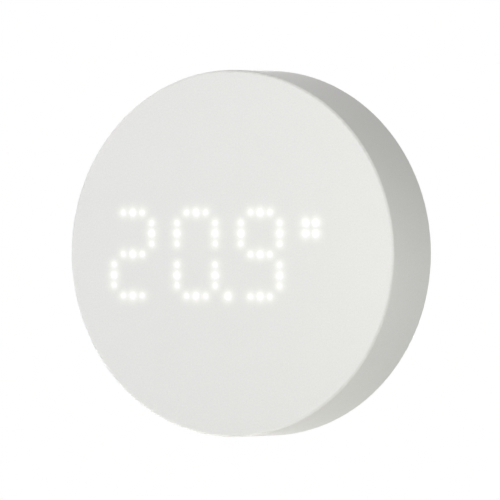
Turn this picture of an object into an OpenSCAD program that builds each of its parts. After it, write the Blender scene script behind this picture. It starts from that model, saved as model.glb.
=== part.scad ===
// Round wall sensor for room temperature and humidity: a drafted cap whose face hides a dot display,
// a circuit board fed by two cells, and a wall plate that the sensor twists onto.
// Pieces are drawn with x to the right, y up and z out from the wall. stand() then turns them upright,
// so that the wall is the plane y = 0 and the face looks along -Y.

/* [Housing] */
// Diameter of the front face, to its sharp corner
face_d = 84; // [82:0.5:92]
// Thickness of the front face
face_t = 1.4; // [1:0.1:2.2]
// Thickness of the skirt
skirt_t = 1.6; // [1.2:0.1:2.2]
// Draft of the skirt, in degrees
skirt_draft = 1.3; // [0:0.1:1.6]
// Radius of the front edge
edge_r = 0.6; // [0.3:0.1:1]
// Radius of the rear rim's outer edge
rim_edge_r = 0.3; // [0.1:0.1:0.6]
// Gap between the wall and the skirt's rear rim
wall_gap = 1.4; // [1:0.1:1.8]
// Thickness of the rear housing's plate
rear_t = 1.6; // [1.2:0.1:2]
// Gap between the rear housing and the skirt
housing_clear = 0.15; // [0.1:0.05:0.3]

/* [Display] */
// Sideways spacing of the dots
dot_dx = 2.5; // [2.3:0.05:2.7]
// Upward spacing of the dots
dot_dy = 2.4; // [2.3:0.05:2.7]
// Spacing of the digits
digit_dx = 16.7; // [15.5:0.1:17]
// Diameter of the dot in the middle of a bar
dot_d = 1.8; // [1.4:0.05:1.9]
// Diameter of the dots at a bar's ends
end_dot_d = 1.3; // [1:0.05:1.6]
// Sideways place of the display's middle
display_x = -0.25; // [-1:0.05:1]
// Height of the digits' middle row
display_y = -0.2; // [-2:0.1:2]
// Depth of the light mask
mask_t = 2.5; // [2:0.1:4]
// Thickness of the mask's front plate
mask_face_t = 0.6; // [0.4:0.1:1]
// Rim of the mask outside its dots
mask_rim = 2.6; // [2:0.1:3.5]
// Thickness of the diffuser film
film_t = 0.2; // [0.1:0.05:0.4]

/* [Circuit board] */
// Thickness of the board
board_t = 1; // [0.8:0.1:1.6]
// Gap between the board and the skirt
board_clear = 0.9; // [0.6:0.1:1.5]
// Gap between the board and the battery bay
board_gap = 0.1; // [0.1:0.1:1]
// Distance of the board's screws from its edge
board_screw_inset = 9.5; // [9:0.5:10.5]

/* [Battery bay] */
// Diameter of a cell
cell_d = 10.5; // [10:0.1:11]
// Length of a cell with its nub
cell_l = 44.5; // [43:0.1:45]
// Gap between the two cells
cell_gap = 0.5; // [0.3:0.1:1]
// Gap between the cells and the bay's sides
cell_clear = 0.35; // [0.2:0.05:0.6]
// Gap between the cells and the wall plate's rim
plate_clear = 0.3; // [0.2:0.1:1]
// Length of a battery spring under load
spring_l = 4.3; // [4.2:0.1:4.8]
// Diameter of the spring wire
wire_d = 0.6; // [0.4:0.05:0.65]
// Thickness of the contact strips
contact_t = 0.3; // [0.2:0.05:0.4]
// Thickness of the bay's walls
bay_wall = 1.2; // [0.8:0.1:1.4]
// Thickness of the bay's floor
bay_floor_t = 0.7; // [0.6:0.1:1.4]

/* [Wall plate] */
// Thickness of the plate's web
plate_t = 1.4; // [1.2:0.1:1.8]
// Thickness of the plate's rim
plate_rim_t = 2.3; // [1.6:0.1:2.6]
// Reach of the bayonet lugs
lug_reach = 2.2; // [1.6:0.1:2.6]
// Thickness of the bayonet lugs
lug_t = 1.2; // [1:0.1:1.6]
// Thickness of the flange that hooks behind the lugs
flange_t = 1.3; // [1:0.1:1.8]
// Width of a lug, in degrees
lug_angle = 24; // [18:1:28]
// Turn from locked to free, in degrees
twist = 28; // [27:1:32]
// Spacing of the wall screws
wall_screw_dy = 40; // [36:1:42]
// Width of a wall screw slot
slot_w = 4.2; // [3.5:0.1:5]
// Length of a wall screw slot
slot_l = 8; // [6:0.5:10]
// Thickness of the adhesive pads
pad_t = 0.8; // [0.4:0.1:1]

/* [Fasteners and button] */
// Shank diameter of the case screws
case_screw_d = 2; // [1.6:0.1:2.4]
// Shank length of the case screws
case_screw_l = 9; // [7:0.5:11]
// Head diameter of the case screws
case_head_d = 4; // [3.4:0.1:4.2]
// Shank diameter of the board's screws
board_screw_d = 1.7; // [1.4:0.1:2]
// Head diameter of the board's screws
board_head_d = 3.6; // [3:0.1:4]
// Diameter of the pairing button
button_d = 4; // [3:0.1:4.4]
// Travel of the pairing button
button_travel = 0.4; // [0.2:0.05:0.6]

/* [Hidden] */
$fn = 96;

// Small clearances, overlaps and edge breaks that many pieces share
over = 1;
weld = 0.2;
fit_clear = 0.1;
screw_clear = 0.05;
edge_break = 0.3;

// Levels of the bayonet, from the wall
flange_back = 0.5;
lug_clear = 0.2;
lug_back = flange_back + flange_t + lug_clear;
lug_front = lug_back + lug_t;
pocket_clear = 0.3;
pocket_floor_z = lug_front + pocket_clear;
pocket_floor_t = 1.4;

// Levels from the wall plate's rim to the face
cell_back = lug_front + plate_clear;
cell_z = cell_back + cell_d / 2;
bay_floor_z = cell_back + cell_d + fit_clear;
bay_front = bay_floor_z + bay_floor_t;
board_back = bay_front + board_gap;
board_front = board_back + board_t;
film_back = board_front + mask_t;
face_in = film_back + film_t;
depth = face_in + face_t;

// Outer and inner radius of the drafted skirt at a level
function skirt_r(z) = face_d / 2 + (depth - z) * tan(skirt_draft);
function bore_r(z) = skirt_r(z) - skirt_t;

// Radii, from the skirt inwards
housing_r = bore_r(wall_gap + rear_t) - housing_clear;
board_r = bore_r(face_in) - board_clear;
boss_d = 5.2;
boss_inset = 0.6;
boss_r = bore_r(face_in) - boss_inset - boss_d / 2;
head_clear = 0.2;
recess_d = case_head_d + 2 * head_clear;
recess_wall = 0.3;
pocket_wall = 1.2;
pocket_out = boss_r - recess_d / 2 - recess_wall;
pocket_r = pocket_out - pocket_wall;
lug_r = pocket_r - pocket_clear;
plate_rim_r = lug_r - lug_reach;
plate_in_r = plate_rim_r - plate_rim_t;
flange_clear = 0.4;
flange_in_r = plate_rim_r + flange_clear;

// Angles of the bayonet: lugs on the plate, and gaps in the housing's flange that pass them
LUG_AT = [90, 210, 330];
gap_spare_angle = 4;
gap_angle = lug_angle + gap_spare_angle;
stop_angle = 4;
stop_spare_angle = 0.6;

// Case screws: recessed head, seat, and the boss that takes the shank
CASE_SCREW_AT = [45, 135, 225, 315];
case_head_h = 1.5;
head_sink = 0.4;
seat_z = wall_gap + case_head_h + head_sink;
seat_t = 1.7;
boss_back = seat_z + seat_t;
pillar_wall = 0.8;
pillar_d = recess_d + 2 * pillar_wall;
case_boss_rib = 1.2;
screw_tip_room = 0.5;
hole_clear = 0.25;

// Board screws and the cover's short bosses under them
BOARD_SCREW_AT = [38, 142, 270];
board_screw_r = board_r - board_screw_inset;
board_head_h = 1.3;
board_screw_bite = 2;
board_screw_l = board_t + board_screw_bite;
board_boss_d = 5;

// Cell and contact places
cell_y = (cell_d + cell_gap) / 2;
contact_x = (cell_l + spring_l) / 2;
bay_end = contact_x + contact_t;
bay_half_w = cell_y + cell_d / 2 + cell_clear;
contact_w = 8;
contact_reach = 4;
foot_l = 2.2;
nub_d = 3.8;
nub_l = 1;
spring_turns = 3.5;
spring_r = 4;
spring_tip_r = 2.4;

// Button and switch, on the circle of the case screws at the left
button_recess = 0.3;
button_flange_reach = 0.45;
button_flange_d = button_d + 2 * button_flange_reach;
button_flange_t = 0.8;
guide_wall = 1;
guide_front = boss_back;
stem_d = 3;
switch_w = 4.2;
switch_h = 3;
plunger_d = 2.2;
plunger_out = 1.4;
plunger_in = 0.5;
button_a = 180;

// Sensor chamber and vents, at the bottom of the same circle
chamber_a = 270;
chamber_angle = 20;
chamber_wall = 1;
gasket_t = 1;
chamber_front = board_back - gasket_t;
chamber_out = board_r;
sensor_w = 2.5;
sensor_h = 0.9;
sensor_gap = 0.3;
sensor_r = chamber_out - chamber_wall - sensor_gap - sensor_w / 2;
vent_w = 1.2;
vent_l = 3.4;
vent_step = 3.4;
vent_r = (pocket_out + chamber_out - chamber_wall) / 2;
VENT_ROWS = [90, chamber_a];

// Places of the parts on the board's rear side
CONTROLLER_AT = [12, -20];
DRIVER_AT = [-12, -20];
CRYSTAL_AT = [19, -20];
radio_w = 12;
radio_l = 16;
radio_t = 0.8;
radio_edge_gap = 6.5;
RADIO_AT = [-2, board_r - radio_edge_gap - radio_l / 2];
CAPACITORS_AT = [[-15, 18], [-15, 24.5]];
INDUCTOR_AT = [13, 20];

// Display grid: digits and the sign beside them are five columns by nine rows
column_count = 5;
row_count = 9;
digit_count = 3;
sign_cell = digit_count;
display_w = sign_cell * digit_dx + (column_count - 1) * dot_dx;
display_h = (row_count - 1) * dot_dy;
// Middle dot of each of a digit's seven bars: column, row, and 1 if the bar lies flat
BARS = [[2, 0, 1], [4, 2, 0], [4, 6, 0], [2, 8, 1], [0, 6, 0], [0, 2, 0], [2, 4, 1]];
// Dots of the sign: the degree square, the slash and the lower square that make a percent sign
DEGREE_DOTS = [[0, 1], [1, 1], [0, 2], [1, 2]];
SLASH_DOTS = [[3, 3], [2, 4], [1, 5]];
LOWER_DOTS = [[3, 6], [4, 6], [3, 7], [4, 7]];
pocket_margin = 0.1;
mask_corner = 1.5;
film_corner = 1;
led_l = 1.6;
led_w = 0.8;
led_h = 0.7;
led_dome_l = 1.2;

// Place of a dot of a digit, or of the sign
function dot_at(cell, column, row) = [
    display_x - display_w / 2 + cell * digit_dx + column * dot_dx,
    display_y + ((row_count - 1) / 2 - row) * dot_dy
];
// Place of the decimal point, midway between the last two digits
last_row = row_count - 1;
point_at = (dot_at(1, column_count - 1, last_row) + dot_at(2, 0, last_row)) / 2;
// Middle of a group of the sign's dots, from its first and last
function group_at(dots) = (
    dot_at(sign_cell, dots[0].x, dots[0].y)
    + dot_at(sign_cell, dots[len(dots) - 1].x, dots[len(dots) - 1].y)
) / 2;

// Turns a piece drawn on its back so that it stands against the wall
module stand() {
    rotate([90, 0, 0]) children();
}

// Repeats children round the axis at a radius
module around(angles, radius) {
    for (a = angles) rotate(a) translate([radius, 0, 0]) children();
}

module at_case_screws() {
    around(CASE_SCREW_AT, boss_r) children();
}

module at_board_screws() {
    around(BOARD_SCREW_AT, board_screw_r) children();
}

// Places children on the board's rear side, with their z pointing back to the wall
module on_board(place) {
    translate([place.x, place.y, board_back]) mirror([0, 0, 1]) children();
}

// Block centred on x and y
module block(w, l, h) {
    translate([-w / 2, -l / 2, 0]) cube([w, l, h]);
}

// Block with round corners, centred on x and y
module round_block(w, l, h, r) {
    linear_extrude(h) {
        square([w - 2 * r, l], center = true);
        square([w, l - 2 * r], center = true);
        for (x = [-1, 1], y = [-1, 1]) translate([x * (w / 2 - r), y * (l / 2 - r)]) circle(r);
    }
}

module ring(r_in, r_out, h) {
    difference() {
        cylinder(r = r_out, h = h);
        translate([0, 0, -over]) cylinder(r = r_in, h = h + 2 * over);
    }
}

// Ring whose outer edge is broken towards the wall
module broken_ring(r_in, r_out, h) {
    rotate_extrude() polygon([
        [r_in, 0], [r_out - edge_break, 0], [r_out, edge_break], [r_out, h], [r_in, h]
    ]);
}

// Part of a ring between two angles less than 90 degrees apart
module arc(r_in, r_out, from, to, h) {
    far = 1.5 * r_out;
    mid = (from + to) / 2;
    intersection() {
        ring(r_in, r_out, h);
        translate([0, 0, -over]) linear_extrude(h + 2 * over)
            polygon([[0, 0], for (a = [from, mid, to]) far * [cos(a), sin(a)]]);
    }
}

// Slot with round ends, along y
module slot(w, l, h) {
    linear_extrude(h) {
        square([w, l - w], center = true);
        for (y = [-1, 1]) translate([0, y * (l - w) / 2]) circle(d = w);
    }
}

// Pan-head screw with a cross recess: seat at z = 0, head behind it and shank ahead
module pan_screw(head_d, head_h, shank_d, length) {
    recess_w = head_d / 7;
    recess_l = head_d * 0.6;
    recess_depth = head_h * 0.55;
    crown_d = head_d * 0.75;
    tip_l = shank_d / 2;
    tip_d = shank_d / 3;
    difference() {
        union() {
            translate([0, 0, -head_h / 2]) cylinder(d = head_d, h = head_h / 2);
            translate([0, 0, -head_h]) cylinder(d1 = crown_d, d2 = head_d, h = head_h / 2);
            cylinder(d = shank_d, h = length - tip_l);
            translate([0, 0, length - tip_l]) cylinder(d1 = shank_d, d2 = tip_d, h = tip_l);
        }
        for (a = [0, 90]) rotate(a) translate([0, 0, -head_h - over])
            block(recess_w, recess_l, recess_depth + over);
    }
}

// Half section of the cap: drafted skirt, flat face, round front edge and round rear rim
module cap_section() {
    edge_c = [face_d / 2 + edge_r * tan(skirt_draft) - edge_r / cos(skirt_draft), depth - edge_r];
    edge_end = edge_c + edge_r * [cos(skirt_draft), sin(skirt_draft)];
    rim_c = [skirt_r(wall_gap + rim_edge_r) - rim_edge_r / cos(skirt_draft), wall_gap + rim_edge_r];
    rim_end = rim_c + rim_edge_r * [cos(skirt_draft), sin(skirt_draft)];
    difference() {
        union() {
            polygon([
                [0, wall_gap], [rim_c.x, wall_gap], rim_c, rim_end,
                edge_end, edge_c, [edge_c.x, depth], [0, depth]
            ]);
            translate(edge_c) circle(edge_r);
            translate(rim_c) circle(rim_edge_r);
        }
        polygon([
            [-over, wall_gap - over], [bore_r(wall_gap - over), wall_gap - over],
            [bore_r(face_in), face_in], [-over, face_in]
        ]);
    }
}

// Translucent white cap: face, skirt, four case bosses and three short board bosses
module front_cover() {
    boss_h = face_in - boss_back + weld;
    pilot_l = case_screw_l - (boss_back - seat_z) + screw_tip_room;
    color("whitesmoke") stand() difference() {
        union() {
            rotate_extrude() cap_section();
            at_case_screws() translate([0, 0, boss_back]) {
                cylinder(d = boss_d, h = boss_h);
                translate([0, -case_boss_rib / 2, 0])
                    cube([boss_d / 2 + boss_inset + skirt_t / 2, case_boss_rib, boss_h]);
            }
            at_board_screws() translate([0, 0, board_front])
                cylinder(d = board_boss_d, h = face_in - board_front + weld);
        }
        at_case_screws() translate([0, 0, boss_back - over])
            cylinder(d = case_screw_d + 2 * screw_clear, h = pilot_l + over);
        at_board_screws() translate([0, 0, board_front - over])
            cylinder(d = board_screw_d + 2 * screw_clear, h = board_screw_bite + screw_tip_room + over);
    }
}

// White film that spreads the light of each dot behind the face
module display_diffuser() {
    color("white") stand() translate([display_x, display_y, film_back])
        round_block(display_w + mask_rim, display_h + mask_rim, film_t, film_corner);
}

// Light pocket behind a bar of three dots
module bar_pocket(flat) {
    w = dot_d + 2 * pocket_margin;
    l = 2 * (flat == 1 ? dot_dx : dot_dy) + end_dot_d + 2 * pocket_margin;
    block(flat == 1 ? l : w, flat == 1 ? w : l, mask_t - mask_face_t + over);
}

// Light pocket behind a square of four dots
module square_pocket() {
    margin = dot_d + 2 * pocket_margin;
    block(dot_dx + margin, dot_dy + margin, mask_t - mask_face_t + over);
}

// Holes in the mask's front plate for a list of dots of one cell
module dot_holes(cell, dots, d) {
    for (p = dots) translate(dot_at(cell, p.x, p.y)) cylinder(d = d, h = mask_t + over);
}

// Black mask: a light pocket behind every bar and sign, and a front plate pierced with their dots
module display_mask() {
    slash_l = 2 * norm([dot_dx, dot_dy]) + end_dot_d;
    color([0.12, 0.12, 0.13]) stand() translate([0, 0, board_front]) difference() {
        translate([display_x, display_y, 0])
            round_block(display_w + 2 * mask_rim, display_h + 2 * mask_rim, mask_t, mask_corner);
        translate([0, 0, -over]) {
            for (i = [0 : digit_count - 1], bar = BARS) translate(dot_at(i, bar.x, bar.y)) bar_pocket(bar.z);
            translate(point_at) block(dot_d + 2 * pocket_margin, dot_d + 2 * pocket_margin,
                mask_t - mask_face_t + over);
            translate(group_at(DEGREE_DOTS)) square_pocket();
            translate(group_at(LOWER_DOTS)) square_pocket();
            translate(group_at(SLASH_DOTS)) rotate(atan2(dot_dy, dot_dx))
                block(slash_l, end_dot_d + 2 * pocket_margin, mask_t - mask_face_t + over);
        }
        for (i = [0 : digit_count - 1], bar = BARS) {
            along = bar.z == 1 ? [1, 0] : [0, 1];
            dot_holes(i, [[bar.x, bar.y]], dot_d);
            dot_holes(i, [for (t = [-1, 1]) [bar.x, bar.y] + t * along], end_dot_d);
        }
        translate(point_at) cylinder(d = dot_d, h = mask_t + over);
        dot_holes(sign_cell, DEGREE_DOTS, dot_d);
        dot_holes(sign_cell, LOWER_DOTS, dot_d);
        dot_holes(sign_cell, SLASH_DOTS, end_dot_d);
    }
}

// One light-emitting chip with its clear dome
module led(flat) {
    rotate(flat == 1 ? 0 : 90) {
        block(led_l, led_w, led_h / 2);
        block(led_dome_l, led_w, led_h);
    }
}

// A chip behind the middle of every bar, the decimal point and each part of the sign
module display_leds() {
    color("lightyellow") stand() translate([0, 0, board_front]) {
        for (i = [0 : digit_count - 1], bar = BARS) translate(dot_at(i, bar.x, bar.y)) led(bar.z);
        translate(point_at) led(1);
        translate(group_at(DEGREE_DOTS)) led(1);
        translate(group_at(LOWER_DOTS)) led(1);
        translate(group_at(SLASH_DOTS)) rotate(atan2(dot_dy, dot_dx)) led(1);
    }
}

// Round circuit board, notched round the case bosses, with routed slots that keep the sensor cool
module main_board() {
    notch_clear = 0.4;
    notch_d = boss_d + 2 * notch_clear;
    slot_t = 0.7;
    slot_gap = 0.3;
    side_slot_l = 3;
    back_slot_l = 2.6;
    side_slot_x = (sensor_w + slot_t) / 2 + slot_gap;
    color("seagreen") stand() translate([0, 0, board_back]) difference() {
        cylinder(r = board_r, h = board_t);
        translate([0, 0, -over]) {
            at_case_screws() {
                cylinder(d = notch_d, h = board_t + 2 * over);
                translate([0, -notch_d / 2, 0]) cube([notch_d, notch_d, board_t + 2 * over]);
            }
            at_board_screws() cylinder(d = board_screw_d + 2 * hole_clear, h = board_t + 2 * over);
            for (x = [-1, 1]) translate([x * side_slot_x, -sensor_r, 0])
                block(slot_t, side_slot_l, board_t + 2 * over);
            translate([0, -sensor_r + (sensor_w + slot_t) / 2 + slot_gap, 0])
                block(back_slot_l, slot_t, board_t + 2 * over);
        }
    }
}

// Three small screws that hold the board to the cover
module board_screws() {
    color("silver") stand() at_board_screws() translate([0, 0, board_back])
        pan_screw(board_head_d, board_head_h, board_screw_d, board_screw_l);
}

// Flat chip package with a dimple at its first pin
module chip(w, l, h) {
    dimple_d = 0.7;
    dimple_depth = 0.1;
    dimple_inset = 1;
    difference() {
        block(w, l, h);
        translate([dimple_inset - w / 2, l / 2 - dimple_inset, h - dimple_depth])
            cylinder(d = dimple_d, h = over);
    }
}

// Controller in a flat square package
module microcontroller() {
    package_w = 7;
    package_h = 0.9;
    color([0.15, 0.15, 0.16]) stand() on_board(CONTROLLER_AT) chip(package_w, package_w, package_h);
}

// Driver chip of the display with two rows of gull-wing leads
module led_driver() {
    body_w = 4.4;
    body_l = 7.8;
    body_h = 1.1;
    stand_off = 0.1;
    lead_step = 0.65;
    lead_count = 12;
    lead_w = 0.25;
    lead_l = 1;
    lead_t = 0.2;
    color([0.15, 0.15, 0.16]) stand() on_board(DRIVER_AT) {
        translate([0, 0, stand_off]) chip(body_w, body_l, body_h);
        for (side = [-1, 1], i = [0 : lead_count - 1])
            translate([side * (body_w + lead_l) / 2, (i - (lead_count - 1) / 2) * lead_step, 0]) {
                block(lead_l, lead_w, lead_t);
                translate([-side * (lead_l - lead_t) / 2, 0, 0]) block(lead_t, lead_w, body_h / 2);
            }
    }
}

// Radio module's own small board, with half-round solder cups along both long edges
module radio_module() {
    cup_d = 0.8;
    cup_step = 1.5;
    cup_count = 8;
    first_cup = 3;
    color("darkgreen") stand() on_board(RADIO_AT) difference() {
        block(radio_w, radio_l, radio_t);
        for (side = [-1, 1], i = [0 : cup_count - 1])
            translate([side * radio_w / 2, radio_l / 2 - first_cup - i * cup_step, -over])
                cylinder(d = cup_d, h = radio_t + 2 * over);
    }
}

// Drawn steel can over the radio's chips, which leaves its aerial end bare
module radio_shield() {
    shield_w = 10;
    shield_l = 10;
    shield_h = 1.8;
    shield_t = 0.2;
    edge_gap = 0.6;
    color("silver") stand() on_board(RADIO_AT - [0, (radio_l - shield_l) / 2 - edge_gap])
        translate([0, 0, radio_t]) difference() {
            block(shield_w, shield_l, shield_h);
            translate([0, 0, -over])
                block(shield_w - 2 * shield_t, shield_l - 2 * shield_t, shield_h - shield_t + over);
        }
}

// Crystal in a ceramic tub with a metal lid
module clock_crystal() {
    tub_w = 1.5;
    tub_l = 3.2;
    tub_h = 0.3;
    lid_inset = 0.15;
    lid_h = 0.8;
    color("silver") stand() on_board(CRYSTAL_AT) {
        block(tub_w, tub_l, tub_h);
        block(tub_w - 2 * lid_inset, tub_l - 2 * lid_inset, lid_h);
    }
}

// Two aluminium cans that carry the display's pulses
module buffer_capacitors() {
    can_d = 5;
    can_h = 5.4;
    foot_w = 5.3;
    foot_h = 0.9;
    color("silver") stand() for (place = CAPACITORS_AT) on_board(place) {
        block(foot_w, foot_w, foot_h);
        cylinder(d = can_d, h = can_h);
    }
}

// Shielded coil of the supply
module power_inductor() {
    coil_w = 5;
    coil_h = 2.4;
    groove_r = 1.3;
    groove_w = 0.5;
    groove_depth = 0.3;
    color("dimgray") stand() on_board(INDUCTOR_AT) difference() {
        block(coil_w, coil_w, coil_h);
        translate([0, 0, coil_h - groove_depth]) ring(groove_r, groove_r + groove_w, over);
    }
}

// Sensing chip with its air port facing back to the vents
module humidity_sensor() {
    port_d = 0.9;
    port_depth = 0.4;
    color("dimgray") stand() on_board([0, -sensor_r]) difference() {
        block(sensor_w, sensor_w, sensor_h);
        translate([0, 0, sensor_h - port_depth]) cylinder(d = port_d, h = over);
    }
}

// Outline of the sensor chamber's wall, as a piece of a ring with a hole in it
module chamber_walls(h) {
    inset = asin(chamber_wall / boss_r);
    from = chamber_a - chamber_angle / 2;
    to = chamber_a + chamber_angle / 2;
    difference() {
        arc(pocket_out - chamber_wall, chamber_out, from, to, h);
        translate([0, 0, -over])
            arc(pocket_out, chamber_out - chamber_wall, from + inset, to - inset, h + 2 * over);
    }
}

// Foam frame that closes the chamber against the board, so that only room air reaches the sensor
module sensor_gasket() {
    color([0.2, 0.2, 0.22]) stand() translate([0, 0, chamber_front]) chamber_walls(gasket_t);
}

// Push switch on the board, with the bore that its plunger slides in
module tact_switch() {
    color("dimgray") stand() rotate(button_a) on_board([boss_r, 0]) difference() {
        block(switch_w, switch_w, switch_h);
        translate([0, 0, switch_h - plunger_in - button_travel - fit_clear])
            cylinder(d = plunger_d + 2 * fit_clear, h = switch_h);
    }
}

module switch_plunger() {
    color([0.15, 0.15, 0.16]) stand() rotate(button_a) on_board([boss_r, 0])
        translate([0, 0, switch_h - plunger_in]) cylinder(d = plunger_d, h = plunger_in + plunger_out);
}

// Pairing button: a round head in the rear plate, a flange that keeps it in, and a stem to the switch
module pair_button() {
    head_back = wall_gap + button_recess;
    flange_z = guide_front + fit_clear;
    stem_front = board_back - switch_h - plunger_out;
    color("lightgray") stand() around([button_a], boss_r) {
        translate([0, 0, head_back]) cylinder(d = button_d, h = flange_z - head_back);
        translate([0, 0, flange_z]) cylinder(d = button_flange_d, h = button_flange_t);
        translate([0, 0, flange_z]) cylinder(d = stem_d, h = stem_front - flange_z);
    }
}

// Flange that hooks behind the wall plate's lugs, with a gap to let each lug in and stops at both ends
module bayonet_ring() {
    lug_half = lug_angle / 2;
    channel_h = pocket_floor_z - flange_back - flange_t + weld;
    translate([0, 0, flange_back]) difference() {
        ring(flange_in_r, pocket_r + weld, flange_t);
        for (a = LUG_AT) translate([0, 0, -over]) arc(flange_in_r - over, pocket_r, a - twist - gap_angle / 2,
            a - twist + gap_angle / 2, flange_t + 2 * over);
    }
    for (a = LUG_AT) translate([0, 0, flange_back + flange_t - weld]) {
        arc(flange_in_r, pocket_r + weld, a + lug_half + stop_spare_angle,
            a + lug_half + stop_spare_angle + stop_angle, channel_h + weld);
        arc(flange_in_r, pocket_r + weld, a - lug_half - twist - stop_spare_angle - stop_angle,
            a - lug_half - twist - stop_spare_angle, channel_h + weld);
    }
}

// Battery bay: a box open to the rear, with slots for the contacts that stand on the board
module bay_box() {
    translate([0, 0, pocket_floor_z])
        block(2 * (bay_end + bay_wall), 2 * (bay_half_w + bay_wall), bay_front - pocket_floor_z);
}

module bay_cuts() {
    slot_clear = 0.2;
    translate([0, 0, pocket_floor_z - over])
        block(2 * bay_end, 2 * bay_half_w, bay_floor_z - pocket_floor_z + over);
    for (y = [-1, 1]) translate([-bay_end, y * cell_y - contact_w / 2 - slot_clear, bay_floor_z - over])
        cube([contact_t + slot_clear, contact_w + 2 * slot_clear, bay_floor_t + 2 * over]);
    for (y = [-1, 1]) translate([-bay_end - bay_wall - over, y * cell_y - contact_w / 2 - slot_clear,
        board_back - contact_t - slot_clear])
        cube([bay_wall + over + weld, contact_w + 2 * slot_clear, contact_t + slot_clear + over]);
}

// White rear housing: vented plate, bayonet pocket, battery bay, screw pillars, button guide, sensor chamber
module rear_housing() {
    color("gainsboro") stand() difference() {
        union() {
            translate([0, 0, wall_gap]) broken_ring(pocket_r, housing_r, rear_t);
            translate([0, 0, flange_back]) ring(pocket_r, pocket_out,
                pocket_floor_z + pocket_floor_t - flange_back);
            translate([0, 0, pocket_floor_z]) cylinder(r = pocket_r + weld, h = pocket_floor_t);
            bayonet_ring();
            bay_box();
            at_case_screws() translate([0, 0, wall_gap]) cylinder(d = pillar_d, h = boss_back - wall_gap);
            around([button_a], boss_r) translate([0, 0, wall_gap])
                cylinder(d = button_d + 2 * guide_wall, h = guide_front - wall_gap);
            translate([0, 0, wall_gap + rear_t - weld])
                chamber_walls(chamber_front - wall_gap - rear_t + weld);
        }
        bay_cuts();
        at_case_screws() {
            translate([0, 0, wall_gap - over]) cylinder(d = recess_d, h = seat_z - wall_gap + over);
            cylinder(d = case_screw_d + 2 * hole_clear, h = boss_back + over);
        }
        around([button_a], boss_r) cylinder(d = button_d + 2 * fit_clear, h = guide_front + over);
        for (row = VENT_ROWS, i = [-2 : 2]) rotate(row + i * vent_step)
            translate([vent_r, 0, wall_gap - over]) rotate(90) slot(vent_w, vent_l, rear_t + 2 * over);
    }
}

// Four screws from the rear housing into the cover's bosses
module case_screws() {
    color("silver") stand() at_case_screws() translate([0, 0, seat_z])
        pan_screw(case_head_d, case_head_h, case_screw_d, case_screw_l);
}

// One cell along x: sleeve, stepped positive end and nub, with the nub's tip at x = 0 and the cell behind it
module cell() {
    bevel = 0.4;
    rotate([0, -90, 0]) {
        cylinder(d = nub_d, h = nub_l + weld);
        translate([0, 0, nub_l]) cylinder(d1 = cell_d - 2 * bevel, d2 = cell_d, h = bevel);
        translate([0, 0, nub_l + bevel]) cylinder(d = cell_d, h = cell_l - nub_l - 2 * bevel);
        translate([0, 0, cell_l - bevel]) cylinder(d1 = cell_d, d2 = cell_d - 2 * bevel, h = bevel);
    }
}

module upper_battery() {
    color("slategray") stand() translate([contact_x, cell_y, cell_z]) cell();
}

module lower_battery() {
    color("slategray") stand() translate([-contact_x, -cell_y, cell_z]) mirror([1, 0, 0]) cell();
}

// Strip at the right that joins the upper cell's nub to the lower cell's spring
module bridge_contact() {
    color("silver") stand() translate([contact_x, -cell_y - contact_w / 2, cell_z - contact_reach])
        cube([contact_t, 2 * cell_y + contact_w, 2 * contact_reach]);
}

// Blade at the left that stands on the board by a soldered foot
module end_contact(y) {
    blade_back = cell_z - contact_reach;
    translate([-bay_end, y - contact_w / 2, blade_back])
        cube([contact_t, contact_w, board_back - blade_back]);
    translate([-bay_end - foot_l, y - contact_w / 2, board_back - contact_t])
        cube([foot_l + contact_t, contact_w, contact_t]);
}

module plus_contact() {
    color("silver") stand() end_contact(-cell_y);
}

module minus_contact() {
    color("silver") stand() end_contact(cell_y);
}

// Conical battery spring: wire swept along a tightening coil, from its contact to the cell's flat end
spring_gap = 0.05;
curl_ring_count = 8;
wire_side_count = 6;
spring_step_count = spring_turns * curl_ring_count;
function spring_share(i) = i / spring_step_count;
function spring_turn(i) = 360 * i / curl_ring_count;
function spring_radius(i) = spring_r + (spring_tip_r - spring_r) * spring_share(i);
function spring_point(i) = [
    wire_d / 2 + spring_gap + (spring_l - wire_d - 2 * spring_gap) * spring_share(i),
    spring_radius(i) * cos(spring_turn(i)),
    spring_radius(i) * sin(spring_turn(i))
];
// Least gap between one curl and the next, measured between points a whole turn apart
spring_self_gap = min([
    for (i = [0 : spring_step_count - curl_ring_count])
        norm(spring_point(i + curl_ring_count) - spring_point(i))
]) - wire_d;
echo(spring_self_gap = spring_self_gap);

module battery_spring() {
    points = [
        for (i = [0 : spring_step_count], s = [0 : wire_side_count - 1])
            let (side = 360 * s / wire_side_count, out = [0, cos(spring_turn(i)), sin(spring_turn(i))])
            spring_point(i) + wire_d / 2 * (cos(side) * out + sin(side) * [1, 0, 0])
    ];
    last = spring_step_count * wire_side_count;
    sides = [
        for (i = [0 : spring_step_count - 1], s = [0 : wire_side_count - 1])
            let (a = i * wire_side_count, b = a + wire_side_count, t = (s + 1) % wire_side_count)
            each [[a + s, b + s, b + t], [a + s, b + t, a + t]]
    ];
    ends = [for (s = [1 : wire_side_count - 2]) each [[0, s, s + 1], [last, last + s + 1, last + s]]];
    polyhedron(points, concat(sides, ends));
}

module upper_spring() {
    color("silver") stand() translate([-contact_x, cell_y, cell_z]) battery_spring();
}

module lower_spring() {
    color("silver") stand() translate([contact_x, -cell_y, cell_z]) rotate([0, 0, 180]) battery_spring();
}

// Pads in the plate's back: place, size and corner radius
pad_x = 17;
pad_w = 9;
pad_l = 28;
pad_corner = 2;

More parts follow.
